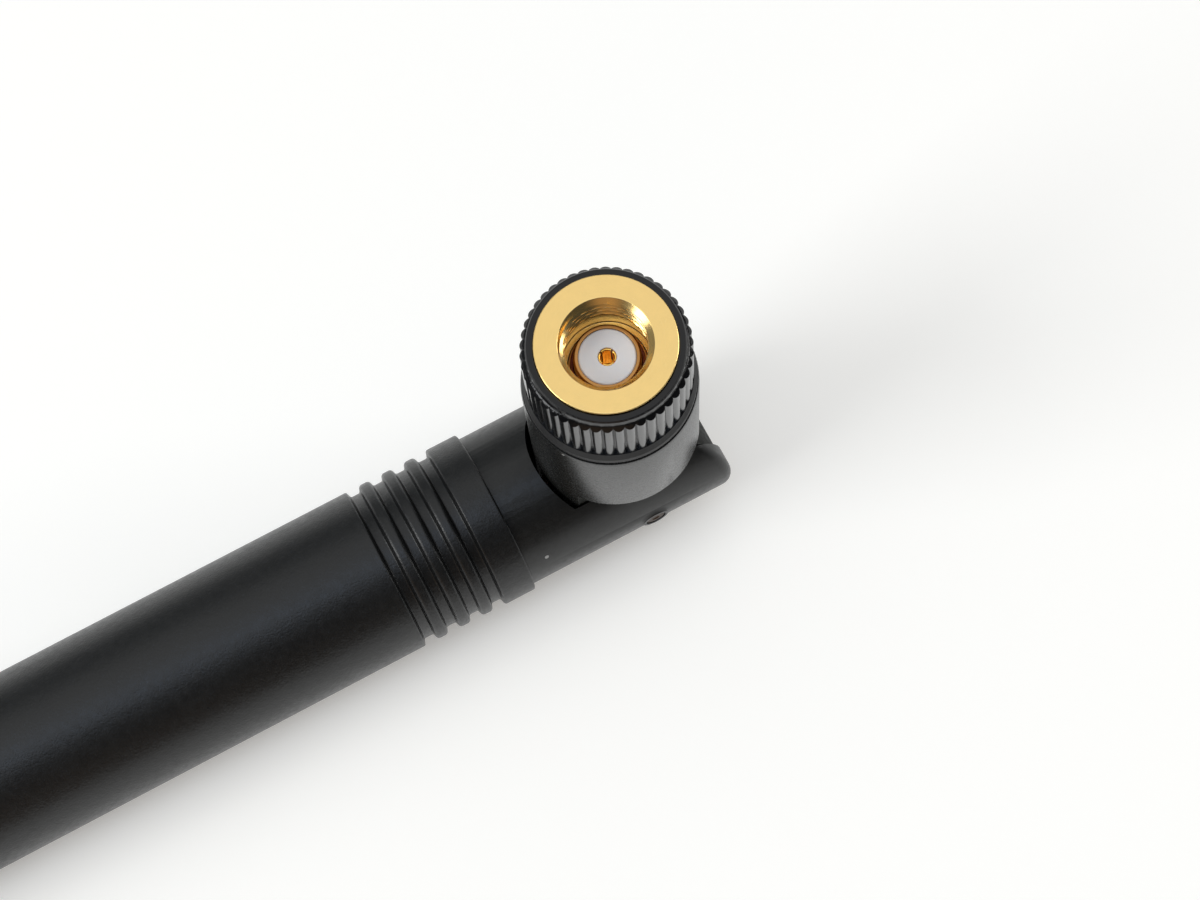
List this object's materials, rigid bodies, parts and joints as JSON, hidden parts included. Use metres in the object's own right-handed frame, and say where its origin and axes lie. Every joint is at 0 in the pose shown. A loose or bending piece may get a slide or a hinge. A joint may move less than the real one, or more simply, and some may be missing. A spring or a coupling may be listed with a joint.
{
  "type": "whip antenna",
  "caption": "Black wireless whip antenna with a tilt hinge, bent at a right angle, and a gold-plated screw-on coaxial plug with a knurled collar.",
  "frame": {"origin": "centre of the coupling nut's mating face, on the connector's axis", "axes": "+Z out of the coupling nut, away from the hinge; the mast runs along -X from the hinge below; the hinge axis is along Y"},
  "size_m": [0.1763, 0.0128, 0.0318],
  "materials": {
    "mast_black": "matte, fine grain",
    "yoke_black": "matte, fine grain",
    "elbow_black": "satin, fine grain",
    "collar_black": "glossy",
    "gold_plating": "bright plated",
    "barrel_bronze": "dull plated",
    "contact_gold": "plated",
    "pin_metal": "dull",
    "spring_steel": "plain",
    "gasket_red": "matte",
    "bead_white": "waxy",
    "ferrule_nickel": "nickel plated",
    "coax_jacket": "smooth",
    "sleeve_brass": "drawn",
    "radiator_copper": "bare copper",
    "spacer_foam": "foamed",
    "shrink_black": "satin"
  },
  "bodies": {
    "mast": {"mast_tube": "mast_black", "hinge_yoke": "yoke_black", "hinge_pins": "pin_metal", "coax_mast": "coax_jacket", "choke_sleeve": "sleeve_brass", "feed_bead": "bead_white", "radiator_wire": "radiator_copper", "lower_spacer": "spacer_foam", "tip_spacer": "spacer_foam", "heat_shrink": "shrink_black"},
    "elbow": {"elbow_housing": "elbow_black", "plug_body": "barrel_bronze", "snap_ring": "spring_steel", "sealing_gasket": "gasket_red", "dielectric_bead": "bead_white", "centre_contact": "contact_gold", "crimp_ferrule": "ferrule_nickel", "coax_elbow": "coax_jacket"},
    "nut": {"coupling_nut": "gold_plating", "knurled_collar": "collar_black"}
  },
  "joints": [
    {"name": "tilt", "type": "hinge", "parent": "mast", "child": "elbow", "pos_m": [0, 0, -0.0254], "axis": [0, 1, 0], "range_deg": [0, 90]},
    {"name": "nut_spin", "type": "hinge", "parent": "elbow", "child": "nut", "pos_m": [0, 0, 0], "axis": [0, 0, 1], "continuous": true}
  ]
}
